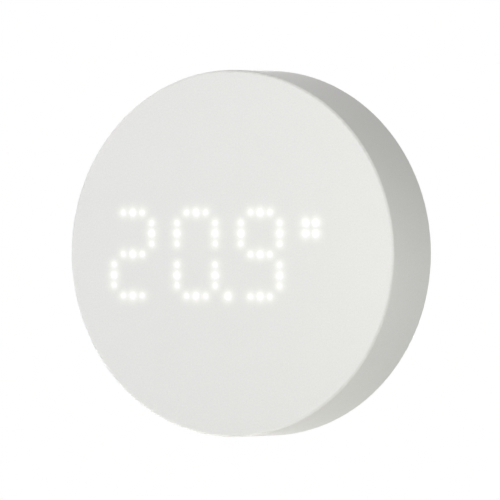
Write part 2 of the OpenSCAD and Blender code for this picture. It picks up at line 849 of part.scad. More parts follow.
// Wall plate: web, rim and bayonet lugs, with two slots for wall screws and beds for the pads
module wall_plate() {
    arrow_w = 5;
    arrow_h = 4;
    arrow_y = 10;
    arrow_depth = 0.4;
    color("gainsboro") stand() difference() {
        union() {
            cylinder(r = plate_in_r + weld, h = plate_t);
            broken_ring(plate_in_r, plate_rim_r, lug_front);
            for (a = LUG_AT) translate([0, 0, lug_back])
                arc(plate_rim_r - weld, lug_r, a - lug_angle / 2, a + lug_angle / 2, lug_t);
        }
        for (y = [-1, 1]) translate([0, y * wall_screw_dy / 2, -over])
            slot(slot_w, slot_l, plate_t + 2 * over);
        for (x = [-1, 1]) translate([x * pad_x, 0, -over])
            round_block(pad_w + 2 * fit_clear, pad_l + 2 * fit_clear, pad_t + over, pad_corner);
        translate([0, arrow_y, -over]) linear_extrude(arrow_depth + over)
            polygon([[-arrow_w / 2, 0], [arrow_w / 2, 0], [0, arrow_h]]);
    }
}

// Two foam pads let into the plate's back, flush with it
module adhesive_pads() {
    color("white") stand() for (x = [-1, 1]) translate([x * pad_x, 0, 0])
        round_block(pad_w, pad_l, pad_t, pad_corner);
}

front_cover();
display_diffuser();
display_mask();
display_leds();
main_board();
board_screws();
microcontroller();
led_driver();
radio_module();
radio_shield();
clock_crystal();
buffer_capacitors();
power_inductor();
humidity_sensor();
sensor_gasket();
tact_switch();
switch_plunger();
pair_button();
rear_housing();
case_screws();
upper_battery();
lower_battery();
bridge_contact();
plus_contact();
minus_contact();
upper_spring();
lower_spring();
wall_plate();
adhesive_pads();
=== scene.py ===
"""A round wall sensor for room temperature and humidity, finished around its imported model."""
import math

import bmesh
import bpy
from mathutils import Matrix, Vector


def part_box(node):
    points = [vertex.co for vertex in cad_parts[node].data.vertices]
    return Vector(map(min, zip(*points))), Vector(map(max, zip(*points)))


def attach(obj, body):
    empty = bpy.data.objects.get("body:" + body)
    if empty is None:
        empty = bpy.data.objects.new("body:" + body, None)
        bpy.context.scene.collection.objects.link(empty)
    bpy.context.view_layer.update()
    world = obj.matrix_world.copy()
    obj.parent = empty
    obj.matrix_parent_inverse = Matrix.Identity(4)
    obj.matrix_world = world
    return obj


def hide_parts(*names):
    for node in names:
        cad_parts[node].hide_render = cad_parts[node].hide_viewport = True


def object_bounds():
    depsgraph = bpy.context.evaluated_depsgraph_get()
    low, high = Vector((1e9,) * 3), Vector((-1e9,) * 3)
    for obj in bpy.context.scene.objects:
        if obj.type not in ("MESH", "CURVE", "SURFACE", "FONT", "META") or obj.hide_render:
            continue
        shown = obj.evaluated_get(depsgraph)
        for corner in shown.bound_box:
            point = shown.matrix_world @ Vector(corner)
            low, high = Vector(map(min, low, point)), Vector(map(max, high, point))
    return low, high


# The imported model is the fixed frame: wall at y = 0, face looking along -Y, metres throughout.
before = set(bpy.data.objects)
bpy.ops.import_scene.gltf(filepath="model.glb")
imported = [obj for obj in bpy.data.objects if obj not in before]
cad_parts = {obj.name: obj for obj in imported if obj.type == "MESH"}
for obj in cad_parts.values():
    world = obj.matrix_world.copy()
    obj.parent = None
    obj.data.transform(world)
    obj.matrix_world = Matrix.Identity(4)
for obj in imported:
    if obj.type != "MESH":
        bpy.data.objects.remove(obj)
cad_low, cad_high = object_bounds()
scene = bpy.context.scene
mm = 0.001

# The camera stands to the right of the sensor and looks back at it with a long lens, so that the face
# is a narrow oval and the skirt shows on the right, as in the photograph.
view_turn = math.radians(28.155)
view_drop = math.radians(0.215)
view_distance = 972.2 * mm
view_target = Vector((0.13 * mm, cad_low.y / 2, 0.77 * mm))
view_line = Vector((
    -math.sin(view_turn) * math.cos(view_drop),
    math.cos(view_turn) * math.cos(view_drop),
    -math.sin(view_drop),
))
camera_data = bpy.data.cameras.new("camera")
camera_data.sensor_width = 36
camera_data.lens = 303.2
camera = bpy.data.objects.new("camera", camera_data)
camera.location = view_target - view_distance * view_line
camera.rotation_mode = "QUATERNION"
camera.rotation_quaternion = view_line.to_track_quat("-Z", "Y")
scene.collection.objects.link(camera)
scene.camera = camera

# The wall plate stays on the wall and carries the bayonet lugs. It is white ABS, injection moulded on a
# spark-eroded tool, which leaves an even matt grain. Two screws or two foam pads hold it to the wall.


def linear(colour):
    """Turns an sRGB hex colour into linear red, green, blue and alpha."""
    parts = [int(colour[i:i + 2], 16) / 255 for i in (0, 2, 4)]
    return [c / 12.92 if c <= 0.04045 else ((c + 0.055) / 1.055) ** 2.4 for c in parts] + [1.0]


def node(tree, kind, inputs=None, **settings):
    """Adds a node with its settings. Each input is given a value, or the socket that feeds it."""
    added = tree.nodes.new(kind)
    for name, value in settings.items():
        setattr(added, name, value)
    for key, value in (inputs or {}).items():
        if isinstance(value, bpy.types.NodeSocket):
            tree.links.new(value, added.inputs[key])
        else:
            added.inputs[key].default_value = value
    return added


def new_material(name, **values):
    """Starts a material with one shader and returns it with its tree, its shader and Object coordinates."""
    material = bpy.data.materials.new(name)
    material.use_nodes = True
    tree = material.node_tree
    shader = tree.nodes["Principled BSDF"]
    for key, value in values.items():
        shader.inputs[key.replace("_", " ")].default_value = value
    place = node(tree, "ShaderNodeTexCoord").outputs["Object"]
    return material, tree, shader, place


# The real grain is finer than a pixel of the render. It is drawn several times as coarse here, and on the
# other mouldings, so that it shows, and its shade is painted into the colour as a speckle.
plate_grain = 0.35 * mm
plate_relief = 0.012 * mm
plastic_ior = 1.53
cloud_size = 9 * mm
speckle_share = 0.85
gloss_spread = 0.05


def grained(name, colour, cloud_and_shade_colour, roughness, grain, relief, metallic=0.0):
    """A matt surface with a fine grain in relief, which also speckles its gloss and its cloudy colour. The
    speckle in the colour is painted shade of the grain's relief.
    """
    material, tree, shader, place = new_material(name, Roughness=roughness, Metallic=metallic)
    if metallic == 0:
        shader.inputs["IOR"].default_value = plastic_ior
    cloud = node(tree, "ShaderNodeTexNoise", {"Vector": place, "Scale": 1 / cloud_size, "Detail": 3})
    eroded = node(tree, "ShaderNodeTexNoise", {"Vector": place, "Scale": 1 / grain, "Detail": 2})
    # The second colour is a cloudy tone at random and, where the grain leads it, painted shade of the
    # relief.
    speckle = node(tree, "ShaderNodeMix", {
        "Factor": speckle_share, "A": cloud.outputs["Fac"], "B": eroded.outputs["Fac"],
    }, data_type="FLOAT")
    tint = node(tree, "ShaderNodeMix", {
        "Factor": speckle.outputs["Result"], "A": linear(colour), "B": linear(cloud_and_shade_colour),
    }, data_type="RGBA")
    bump = node(tree, "ShaderNodeBump", {
        "Height": eroded.outputs["Fac"], "Distance": relief, "Strength": 1.0,
    })
    gloss = node(tree, "ShaderNodeMapRange", {
        "Value": eroded.outputs["Fac"], "To Min": roughness - gloss_spread,
        "To Max": roughness + gloss_spread,
    })
    tree.links.new(tint.outputs["Result"], shader.inputs["Base Color"])
    tree.links.new(gloss.outputs["Result"], shader.inputs["Roughness"])
    tree.links.new(bump.outputs["Normal"], shader.inputs["Normal"])
    return material


def dress(material, *names):
    """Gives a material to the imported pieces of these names."""
    for name in names:
        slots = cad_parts[name].data.materials
        slots.clear()
        slots.append(material)


plate_abs = grained("white_abs_plate", "E2E2DF", "DEDEDB", 0.5, plate_grain, plate_relief)
dress(plate_abs, "wall_plate")

# Two die-cut pads of closed-cell foam tape sit in beds in the plate's back. Each is under a paper liner,
# which is peeled off before the plate is pressed on the wall and is slit across for a nail to lift it.
pad_low, pad_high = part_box("adhesive_pads")
pad_width = 9 * mm
pad_corner = 2 * mm
foam_edge = 0.1 * mm
foam_edge_inset = 0.12 * mm
foam_side_inset = 0.02 * mm
liner_thickness = 0.1 * mm
liner_inset = 0.05 * mm
slit_height = 4 * mm
slit_width = 0.25 * mm
slit_corner = 0.2 * mm
corner_steps = 8
sharp_angle = math.radians(32)
pore_size = 0.25 * mm
fibre_width = 0.7 * mm
fibre_slimness = 0.25
fibre_relief = 0.02 * mm


def rounded_outline(left, right, bottom, top, radii, inset):
    """Points round a rectangle in x and z. Each corner, from the lower left round, has its own radius."""
    corners = ((left, bottom, 1, 1), (right, bottom, -1, 1), (right, top, -1, -1), (left, top, 1, -1))
    points = []
    for quarter, ((x, z, inward, upward), radius) in enumerate(zip(corners, radii)):
        for step in range(corner_steps + 1):
            turn = math.radians(180 + 90 * (quarter + step / corner_steps))
            points.append((
                x + inward * radius + (radius - inset) * math.cos(turn),
                z + upward * radius + (radius - inset) * math.sin(turn),
            ))
    return points


def add_slab(shape, edges, radii, layers):
    """Adds a closed slab: a ring of the outline at each layer's place in y, drawn in by its inset."""
    rings = []
    for y, inset in layers:
        outline = rounded_outline(*edges, radii, inset)
        rings.append([shape.verts.new((x, y, z)) for x, z in outline])
    count = len(rings[0])
    for ring, following in zip(rings, rings[1:]):
        for i in range(count):
            j = (i + 1) % count
            shape.faces.new((ring[i], ring[j], following[j], following[i]))
    shape.faces.new(rings[0])
    shape.faces.new(rings[-1])


def piece_from(shape, name, *materials):
    """Turns a drawn shape into a piece at the origin, smooth but for its sharp edges."""
    bmesh.ops.recalc_face_normals(shape, faces=shape.faces)
    mesh = bpy.data.meshes.new(name)
    shape.to_mesh(mesh)
    shape.free()
    for material in materials:
        mesh.materials.append(material)
    mesh.shade_smooth()
    mesh.set_sharp_from_angle(angle=sharp_angle)
    piece = bpy.data.objects.new(name, mesh)
    scene.collection.objects.link(piece)
    return piece


def closed_cell_foam(name, colour, roughness, pore_depth):
    """Matt foam, pitted where the cut has opened its cells."""
    material, tree, shader, place = new_material(name, Roughness=roughness)
    shader.inputs["Base Color"].default_value = linear(colour)
    pores = node(tree, "ShaderNodeTexVoronoi", {"Vector": place, "Scale": 1 / pore_size})
    bump = node(tree, "ShaderNodeBump", {
        "Height": pores.outputs["Distance"], "Distance": pore_depth, "Strength": 1.0,
    })
    tree.links.new(bump.outputs["Normal"], shader.inputs["Normal"])
    return material


foam_tape = closed_cell_foam("white_foam_tape", "DAD9D4", 0.9, 0.06 * mm)
glassine, tree, shader, place = new_material("glassine_paper", Roughness=0.4)
stretched = node(tree, "ShaderNodeMapping", {"Vector": place, "Scale": (1, 1, fibre_slimness)})
fibres = node(tree, "ShaderNodeTexNoise", {
    "Vector": stretched.outputs["Vector"], "Scale": 1 / fibre_width, "Detail": 4,
})
paper = node(tree, "ShaderNodeMix", {
    "Factor": fibres.outputs["Fac"], "A": linear("F0EADA"), "B": linear("E2DAC4"),
}, data_type="RGBA")
fibre_bump = node(tree, "ShaderNodeBump", {
    "Height": fibres.outputs["Fac"], "Distance": fibre_relief, "Strength": 1.0,
})
tree.links.new(paper.outputs["Result"], shader.inputs["Base Color"])
tree.links.new(fibre_bump.outputs["Normal"], shader.inputs["Normal"])

foam_shape = bmesh.new()
liner_shape = bmesh.new()
liner_y = pad_high.y - liner_thickness
slit_z = pad_low.z + slit_height
foam_layers = [
    (pad_low.y, foam_edge_inset), (pad_low.y + foam_edge, foam_side_inset), ((pad_low.y + liner_y) / 2, 0),
    (liner_y - foam_edge, foam_side_inset), (liner_y, foam_edge_inset),
]
liner_layers = [(liner_y, liner_inset), (pad_high.y, liner_inset)]
for left in (pad_low.x, pad_high.x - pad_width):
    right = left + pad_width
    add_slab(foam_shape, (left, right, pad_low.z, pad_high.z), [pad_corner] * 4, foam_layers)
    add_slab(liner_shape, (left, right, pad_low.z, slit_z),
             [pad_corner, pad_corner, slit_corner, slit_corner], liner_layers)
    add_slab(liner_shape, (left, right, slit_z + slit_width, pad_high.z),
             [slit_corner, slit_corner, pad_corner, pad_corner], liner_layers)
foam_pads = piece_from(foam_shape, "foam_pads", foam_tape)
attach(foam_pads, "wall_mount")
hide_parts("adhesive_pads")
pad_liners = piece_from(liner_shape, "pad_liners", glassine)
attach(pad_liners, "wall_mount")

# The rear housing closes the back: a vented ring, the bayonet pocket, the battery bay and the sensing
# chamber in one moulding of the same white ABS. Four screws from behind hold it to the cover.
housing_abs = grained("white_abs_housing", "DFDFDC", "DBDBD8", 0.5, plate_grain, plate_relief)
dress(housing_abs, "rear_housing")

# The pairing button is a grey acetal pin, moulded smooth so that it slides in the housing's guide. A flange
# keeps it in, its stem meets the switch, and its end is dished for a pen tip.
button_low, button_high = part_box("pair_button")
button_x = (button_low.x + button_high.x) / 2
button_flange_radius = (button_high.x - button_low.x) / 2
button_radius = 2 * mm
button_edge = 0.3 * mm
dish_depth = 0.25 * mm
dish_radius = 1.5 * mm
dish_rim_drop = 0.03 * mm
dish_steps = 6
flange_back = -5.1 * mm
flange_front = -5.9 * mm
stem_radius = 1.5 * mm


def arc(radius, along, reach, start, end, steps=6):
    """Points of an outline's round corner about a centre, from one angle to another in degrees."""
    turns = [math.radians(start + (end - start) * i / steps) for i in range(steps + 1)]
    return [(radius + reach * math.cos(t), along + reach * math.sin(t)) for t in turns]


def add_lathe(shape, outline, steps=64):
    """Turns an outline of radius and place along y, which starts and ends on the axis, into a closed shape.
    A list of radii in place of one gives the ring's radius at every step."""
    rings = []
    for radius, along in outline:
        if radius == 0:
            rings.append([shape.verts.new((0, along, 0))])
            continue
        radii = radius if isinstance(radius, list) else [radius] * steps
        turns = [2 * math.pi * i / steps for i in range(steps)]
        rings.append([
            shape.verts.new((r * math.cos(t), along, r * math.sin(t))) for r, t in zip(radii, turns)
        ])
    for ring, following in zip(rings, rings[1:]):
        for i in range(steps):
            j = (i + 1) % steps
            corners = [ring[i % len(ring)], ring[j % len(ring)],
                       following[j % len(following)], following[i % len(following)]]
            shape.faces.new(list(dict.fromkeys(corners)))


button_shape = bmesh.new()
dish_rim = button_high.y - dish_rim_drop
dish = [
    (dish_radius * i / dish_steps, dish_rim - dish_depth * (1 - (i / dish_steps) ** 2))
    for i in range(dish_steps + 1)
]
add_lathe(button_shape, [
    *dish,
    *arc(button_radius - button_edge, button_high.y - button_edge, button_edge, 90, 0),
    (button_radius, flange_back), (button_flange_radius, flange_back), (button_flange_radius, flange_front),
    (stem_radius, flange_front), (stem_radius, button_low.y), (0, button_low.y),
])
bmesh.ops.translate(button_shape, verts=button_shape.verts, vec=(button_x, 0, 0))
button_acetal = grained("grey_acetal", "BDBDBA", "B8B8B5", 0.38, 0.6 * mm, 0.004 * mm)
pairing_pin = piece_from(button_shape, "pairing_pin", button_acetal)
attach(pairing_pin, "pairing_button")
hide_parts("pair_button")

# The push switch under it is a bought part of black PBT, soldered to the board. Its plunger slides in its
# bore against a snap dome.
switch_pbt = grained("black_pbt", "2A2A2C", "262628", 0.45, 0.4 * mm, 0.006 * mm)
dress(switch_pbt, "tact_switch", "switch_plunger")

# The contact strips are stamped from nickel-plated steel and keep fine rolling lines along the strip. Two
# stand on the board by soldered feet, and one joins the cells at the bay's far end.
rolling_length = 1.5 * mm
rolling_slimness = 8
nickel, tree, shader, place = new_material("nickel_plated_steel", Metallic=1.0)
shader.inputs["Base Color"].default_value = linear("CFCBC2")
rolled = node(tree, "ShaderNodeMapping", {
    "Vector": place, "Scale": (rolling_slimness, rolling_slimness, 1),
})
lines = node(tree, "ShaderNodeTexNoise", {
    "Vector": rolled.outputs["Vector"], "Scale": 1 / rolling_length, "Detail": 2,
})
sheen = node(tree, "ShaderNodeMapRange", {"Value": lines.outputs["Fac"], "To Min": 0.2, "To Max": 0.4})
tree.links.new(sheen.outputs["Result"], shader.inputs["Roughness"])
dress(nickel, "bridge_contact", "plus_contact", "minus_contact")

# Each cell is pressed against its contact by a conical spring of nickel-plated wire, wound so that its
# curls nest when the cell goes in. The wide end sits on the strip and the narrow end on the cell.
spring_turns = 3.5
spring_base_radius = 4 * mm
spring_tip_radius = 2.4 * mm
wire_radius = 0.3 * mm
spring_gap = 0.05 * mm
points_per_turn = 48
wire_sides = 14
grown_sharp_angle = math.radians(40)


def new_group(name, kind, inputs, output):
    """Starts a node group with named inputs and one output, and returns it with its inputs' sockets."""
    group = bpy.data.node_groups.new(name, kind)
    for label, value_kind in inputs.items():
        group.interface.new_socket(label, in_out="INPUT", socket_type="NodeSocket" + value_kind)
    label, value_kind = output
    group.interface.new_socket(label, in_out="OUTPUT", socket_type="NodeSocket" + value_kind)
    return group, node(group, "NodeGroupInput").outputs


conical_spring, given = new_group("conical_spring", "GeometryNodeTree", {
    "Turns": "Float", "Base radius": "Float", "Tip radius": "Float", "Length": "Float",
    "Wire radius": "Float", "Metal": "Material",
}, ("Spring", "Geometry"))
coil = node(conical_spring, "GeometryNodeCurveSpiral", {
    "Resolution": points_per_turn, "Rotations": given["Turns"], "Start Radius": given["Base radius"],
    "End Radius": given["Tip radius"], "Height": given["Length"],
})
wire = node(conical_spring, "GeometryNodeCurvePrimitiveCircle", {
    "Resolution": wire_sides, "Radius": given["Wire radius"],
})
wound = node(conical_spring, "GeometryNodeCurveToMesh", {
    "Curve": coil.outputs["Curve"], "Profile Curve": wire.outputs["Curve"], "Fill Caps": True,
})
realised = node(conical_spring, "GeometryNodeRealizeInstances", {"Geometry": wound.outputs["Mesh"]})
plated = node(conical_spring, "GeometryNodeSetMaterial", {
    "Geometry": realised.outputs["Geometry"], "Material": given["Metal"],
})
node(conical_spring, "NodeGroupOutput", {"Spring": plated.outputs["Geometry"]})


def grown(name, nodes, values, start=None):
    """Runs a geometry tree with these values of its inputs and keeps what it makes as a plain mesh."""
    worker = bpy.data.objects.new(name + "_worker", start or bpy.data.meshes.new(name + "_start"))
    scene.collection.objects.link(worker)
    modifier = worker.modifiers.new("shape", "NODES")
    modifier.node_group = nodes
    for socket in nodes.interface.items_tree:
        if socket.name in values:
            modifier[socket.identifier] = values[socket.name]
    graph = bpy.context.evaluated_depsgraph_get()
    mesh = bpy.data.meshes.new_from_object(worker.evaluated_get(graph), depsgraph=graph)
    bpy.data.objects.remove(worker)
    mesh.name = name
    mesh.shade_smooth()
    mesh.set_sharp_from_angle(angle=grown_sharp_angle)
    piece = bpy.data.objects.new(name, mesh)
    scene.collection.objects.link(piece)
    return piece


for name, cell, contact, outward in (("upper", "upper_battery", "minus_contact", 1),
                                     ("lower", "lower_battery", "bridge_contact", -1)):
    cell_low, cell_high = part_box(cell)
    contact_low, contact_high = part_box(contact)
    seat = contact_high.x if outward == 1 else contact_low.x
    cell_end = cell_low.x if outward == 1 else cell_high.x
    spring = grown(name + "_coil", conical_spring, {
        "Turns": spring_turns, "Base radius": spring_base_radius, "Tip radius": spring_tip_radius,
        "Length": abs(cell_end - seat) - 2 * (wire_radius + spring_gap), "Wire radius": wire_radius,
        "Metal": nickel,
    })
    # The coil is drawn along z. Its axis turns to x, towards the cell, and its start points up or down.
    middle = (cell_low + cell_high) / 2
    spring.data.transform(Matrix((
        (0, 0, outward, seat + outward * (wire_radius + spring_gap)),
        (0, -1, 0, middle.y),
        (outward, 0, 0, middle.z),
        (0, 0, 0, 1),
    )))
    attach(spring, "sensor_unit")
    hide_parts(name + "_spring")

# Two dry cells lie side by side and head to tail in the bay. Each is a drawn steel can in a printed sleeve,
# here plain slate with one pale ring, with a pressed nub at its positive end and a bare steel base.
cell_radius = 5.25 * mm
nub_radius = 1.9 * mm
nub_height = 1 * mm
nub_edge = 0.35 * mm
sleeve_lip_radius = 4.5 * mm
sleeve_edge = 0.45 * mm
ring_start = 6 * mm
ring_end = 8.5 * mm
base_dish = 0.15 * mm
mottle_size = 0.4 * mm


def printed_foil(name, colour, pale_colour):
    """Metal foil under a satin print that is faintly mottled."""
    material, tree, shader, place = new_material(name, Metallic=0.35, Roughness=0.32)
    mottle = node(tree, "ShaderNodeTexNoise", {"Vector": place, "Scale": 1 / mottle_size, "Detail": 3})
    tint = node(tree, "ShaderNodeMix", {
        "Factor": mottle.outputs["Fac"], "A": linear(colour), "B": linear(pale_colour),
    }, data_type="RGBA")
    tree.links.new(tint.outputs["Result"], shader.inputs["Base Color"])
    return material


sleeve_foil = printed_foil("slate_printed_foil", "525A63", "5E6770")
ring_foil = printed_foil("pale_printed_foil", "C2C6C8", "CCD0D2")

for name, outward in (("upper", 1), ("lower", -1)):
    cell_low, cell_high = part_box(name + "_battery")
    length = cell_high.x - cell_low.x
    cell_shape = bmesh.new()
    add_lathe(cell_shape, [
        (0, 0), *arc(nub_radius - nub_edge, -nub_edge, nub_edge, 90, 0),
        (nub_radius, -nub_height), (sleeve_lip_radius, -nub_height),
        *arc(cell_radius - sleeve_edge, -nub_height - sleeve_edge, sleeve_edge, 90, 0),
        (cell_radius, -ring_start), (cell_radius, -ring_end),
        *arc(cell_radius - sleeve_edge, sleeve_edge - length, sleeve_edge, 0, -90),
        (sleeve_lip_radius, -length), (sleeve_lip_radius - base_dish, base_dish - length),
        (0, base_dish - length),
    ])
    for face in cell_shape.faces:
        place_along = -face.calc_center_median().y
        steel = max(math.hypot(v.co.x, v.co.z) for v in face.verts) <= sleeve_lip_radius
        printed = 1 if ring_start < place_along < ring_end else 0
        face.material_index = 2 if steel else printed
    middle = (cell_low + cell_high) / 2
    dry_cell = piece_from(cell_shape, name + "_cell", sleeve_foil, ring_foil, nickel)
    dry_cell.data.transform(Matrix((
        (0, outward, 0, cell_high.x if outward == 1 else cell_low.x),
        (-outward, 0, 0, middle.y),
        (0, 0, 1, middle.z),
        (0, 0, 0, 1),
    )))
    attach(dry_cell, "sensor_unit")
    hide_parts(name + "_battery")

# The round board is glass-fibre laminate under green solder mask, which is paler and raised over its copper
# tracks and bare at the plated holes, whose dark middles are painted shade in place of their depth. Three
# screws hold it to the cover. The radio's own board is alike.
# The tracks are drawn about twice as wide as real ones, so that they show.
hole_pitch = 7 * mm
hole_radius = 0.3 * mm
land_radius = 0.65 * mm
track_pitch = 1.2 * mm
track_width = 0.4 * mm
track_edge = 0.08 * mm
track_relief = 0.035 * mm
flooded_share = 0.35
land_colour = "C9AE6A"
hole_shade_colour = "2A2418"


def solder_mask(name, bare_colour, copper_colour):
    """Solder mask over tracks that run square round plated holes, and over areas flooded with copper."""
    material, tree, shader, place = new_material(name, Roughness=0.28, IOR=1.55)
    upright = node(tree, "ShaderNodeMapping", {"Vector": place, "Rotation": (math.pi / 2, 0, 0)})
    routes = node(tree, "ShaderNodeTexVoronoi", {
        "Vector": upright.outputs["Vector"], "Scale": 1 / hole_pitch,
    }, voronoi_dimensions="2D", distance="CHEBYCHEV")
    across = node(tree, "ShaderNodeMath", {
        0: routes.outputs["Distance"], 1: track_pitch / hole_pitch / 2,
    }, operation="PINGPONG")
    track = node(tree, "ShaderNodeMapRange", {
        "Value": across.outputs["Value"], "From Min": (track_width - track_edge) / hole_pitch / 2,
        "From Max": (track_width + track_edge) / hole_pitch / 2, "To Min": 1.0, "To Max": 0.0,
    })
    drawn = node(tree, "ShaderNodeSeparateColor", {"Color": routes.outputs["Color"]})
    flooded = node(tree, "ShaderNodeMath", {
        0: drawn.outputs["Red"], 1: flooded_share,
    }, operation="LESS_THAN")
    inverted = node(tree, "ShaderNodeMath", {
        0: track.outputs["Result"], 1: flooded.outputs["Value"],
    }, operation="SUBTRACT")
    copper = node(tree, "ShaderNodeMath", {0: inverted.outputs["Value"]}, operation="ABSOLUTE")
    masked = node(tree, "ShaderNodeMix", {
        "Factor": copper.outputs["Value"], "A": linear(bare_colour), "B": linear(copper_colour),
    }, data_type="RGBA")
    holes = node(tree, "ShaderNodeTexVoronoi", {
        "Vector": upright.outputs["Vector"], "Scale": 1 / hole_pitch,
    }, voronoi_dimensions="2D")
    land = node(tree, "ShaderNodeMath", {
        0: holes.outputs["Distance"], 1: land_radius / hole_pitch,
    }, operation="LESS_THAN")
    # Each hole's dark middle is painted shade, which stands in for the hole's depth.
    bore = node(tree, "ShaderNodeMath", {
        0: holes.outputs["Distance"], 1: hole_radius / hole_pitch,
    }, operation="LESS_THAN")
    gilded = node(tree, "ShaderNodeMix", {
        "Factor": land.outputs["Value"], "A": masked.outputs["Result"], "B": linear(land_colour),
    }, data_type="RGBA")
    colour = node(tree, "ShaderNodeMix", {
        "Factor": bore.outputs["Value"], "A": gilded.outputs["Result"], "B": linear(hole_shade_colour),
    }, data_type="RGBA")
    relief = node(tree, "ShaderNodeBump", {
        "Height": copper.outputs["Value"], "Distance": track_relief, "Strength": 1.0,
    })
    tree.links.new(colour.outputs["Result"], shader.inputs["Base Color"])
    tree.links.new(land.outputs["Value"], shader.inputs["Metallic"])
    tree.links.new(relief.outputs["Normal"], shader.inputs["Normal"])
    return material


dress(solder_mask("green_solder_mask", "17603A", "2A8455"), "main_board")
dress(solder_mask("dark_solder_mask", "0E3B2A", "1C5A41"), "radio_module")

# Chips are moulded in black epoxy, matt with a fine filler grain, and soldered to the board's rear. The
# display's driver has two rows of tinned leads beside its body.
epoxy = grained("black_epoxy", "262628", "202022", 0.5, 0.15 * mm, 0.006 * mm)
dress(epoxy, "microcontroller", "humidity_sensor")
tin_colour = "C4C4C0"
leaded_epoxy = grained("black_epoxy_tinned_leads", "262628", "202022", 0.5, 0.15 * mm, 0.006 * mm)
driver_low, driver_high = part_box("led_driver")
driver_body_width = 4.4 * mm


def banded(material, axis, centre, half_width, colour, metallic):
    """Gives the part of a material that lies further than half_width from a centre its own finish."""
    tree = material.node_tree
    shader = tree.nodes["Principled BSDF"]
    place = node(tree, "ShaderNodeTexCoord").outputs["Object"]
    apart = node(tree, "ShaderNodeSeparateXYZ", {"Vector": place}).outputs[axis]
    away = node(tree, "ShaderNodeMath", {0: apart, 1: centre}, operation="SUBTRACT")
    far = node(tree, "ShaderNodeMath", {0: away.outputs["Value"]}, operation="ABSOLUTE")
    outside = node(tree, "ShaderNodeMath", {
        0: far.outputs["Value"], 1: half_width,
    }, operation="GREATER_THAN")
    inner_colour = shader.inputs["Base Color"].links[0].from_socket
    inner_metallic = shader.inputs["Metallic"].default_value
    colours = node(tree, "ShaderNodeMix", {
        "Factor": outside.outputs["Value"], "A": inner_colour, "B": linear(colour),
    }, data_type="RGBA")
    metals = node(tree, "ShaderNodeMapRange", {
        "Value": outside.outputs["Value"], "To Min": inner_metallic, "To Max": metallic,
    })
    tree.links.new(colours.outputs["Result"], shader.inputs["Base Color"])
    tree.links.new(metals.outputs["Result"], shader.inputs["Metallic"])


banded(leaded_epoxy, "X", (driver_low.x + driver_high.x) / 2, driver_body_width / 2, tin_colour, 1.0)
dress(leaded_epoxy, "led_driver")

# The radio's shield is drawn from tinned steel sheet, which keeps its spangle, and is soldered over its
# chips. The clock crystal has a lid of the same sheet on a ceramic tub.
tinplate_colour = "C9C9C6"
spangle_size = 0.8 * mm
tinplate, tree, shader, place = new_material("tinned_steel", Metallic=1.0)
shader.inputs["Base Color"].default_value = linear(tinplate_colour)
spangle = node(tree, "ShaderNodeTexVoronoi", {"Vector": place, "Scale": 1 / spangle_size})
spangle_gloss = node(tree, "ShaderNodeMapRange", {
    "Value": spangle.outputs["Distance"], "To Min": 0.26, "To Max": 0.42,
})
tree.links.new(spangle_gloss.outputs["Result"], shader.inputs["Roughness"])
dress(tinplate, "radio_shield")
crystal_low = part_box("clock_crystal")[0]
tub_height = 0.3 * mm
ceramic = grained("alumina_ceramic_tinned_lid", "CDBFA6", "C6B79C", 0.6, 0.2 * mm, 0.004 * mm)
banded(ceramic, "Y", crystal_low.y, tub_height, tinplate_colour, 1.0)
dress(ceramic, "clock_crystal")

# Two capacitors carry the display's pulses. Each is a can drawn from bright aluminium, on a square black
# foot, and is soldered to the board.
can_low, can_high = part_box("buffer_capacitors")
can_foot_height = 0.9 * mm
can_height = can_high.y - can_low.y
aluminium = grained("drawn_aluminium", "D6D7D8", "CFD0D1", 0.3, 0.5 * mm, 0.003 * mm, metallic=1.0)
banded(aluminium, "Y", can_high.y, can_height - can_foot_height, "232325", 0.0)
dress(aluminium, "buffer_capacitors")

# The supply's coil is potted in a block of pressed and sintered ferrite, which is dark grey and slightly
# open-grained. It is soldered to the board.
ferrite = grained("sintered_ferrite", "3B3B3D", "2E2E30", 0.7, 0.3 * mm, 0.03 * mm)
dress(ferrite, "power_inductor")

# The gasket is a frame cut from black closed-cell foam. It is squeezed between the sensing chamber's walls
# and the board, which rounds its edges, and keeps the unit's own warm air away from the sensing chip.
gasket_low, gasket_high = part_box("sensor_gasket")
gasket_half_angle = math.radians(10)
gasket_wall = 1 * mm
gasket_outer = -gasket_low.z
gasket_inner = -gasket_high.z / math.cos(gasket_half_angle)
gasket_edge = 0.15 * mm
gasket_steps = 12


def frame_outline(inner, outer, half_angle):
    """Points round a piece of a ring that hangs below the axis, in x and z."""
    turns = [half_angle * (2 * i / gasket_steps - 1) for i in range(gasket_steps + 1)]
    there = [(outer * math.sin(t), -outer * math.cos(t)) for t in turns]
    back = [(inner * math.sin(t), -inner * math.cos(t)) for t in reversed(turns)]
    return there + back


gasket_shape = bmesh.new()
gasket_rings = []
hole_half_angle = gasket_half_angle - gasket_wall / gasket_outer
for y, inset in ((gasket_low.y, gasket_edge), (gasket_low.y + gasket_edge, 0),
                 (gasket_high.y - gasket_edge, 0), (gasket_high.y, gasket_edge)):
    outside = frame_outline(
        gasket_inner + inset, gasket_outer - inset, gasket_half_angle - inset / gasket_outer,
    )
    inside = frame_outline(
        gasket_inner + gasket_wall - inset, gasket_outer - gasket_wall + inset,
        hole_half_angle + inset / gasket_outer,
    )
    gasket_rings.append([
        [gasket_shape.verts.new((x, y, z)) for x, z in outline] for outline in (outside, inside)
    ])
strips = [(a, b) for low, high in zip(gasket_rings, gasket_rings[1:]) for a, b in zip(low, high)]
strips += [gasket_rings[0], gasket_rings[-1]]
for ring, following in strips:
    for i in range(len(ring)):
        j = (i + 1) % len(ring)
        gasket_shape.faces.new((ring[i], ring[j], following[j], following[i]))
black_foam = closed_cell_foam("black_foam", "2B2B2B", 0.95, 0.08 * mm)
foam_frame = piece_from(gasket_shape, "foam_frame", black_foam)
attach(foam_frame, "sensor_unit")
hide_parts("sensor_gasket")

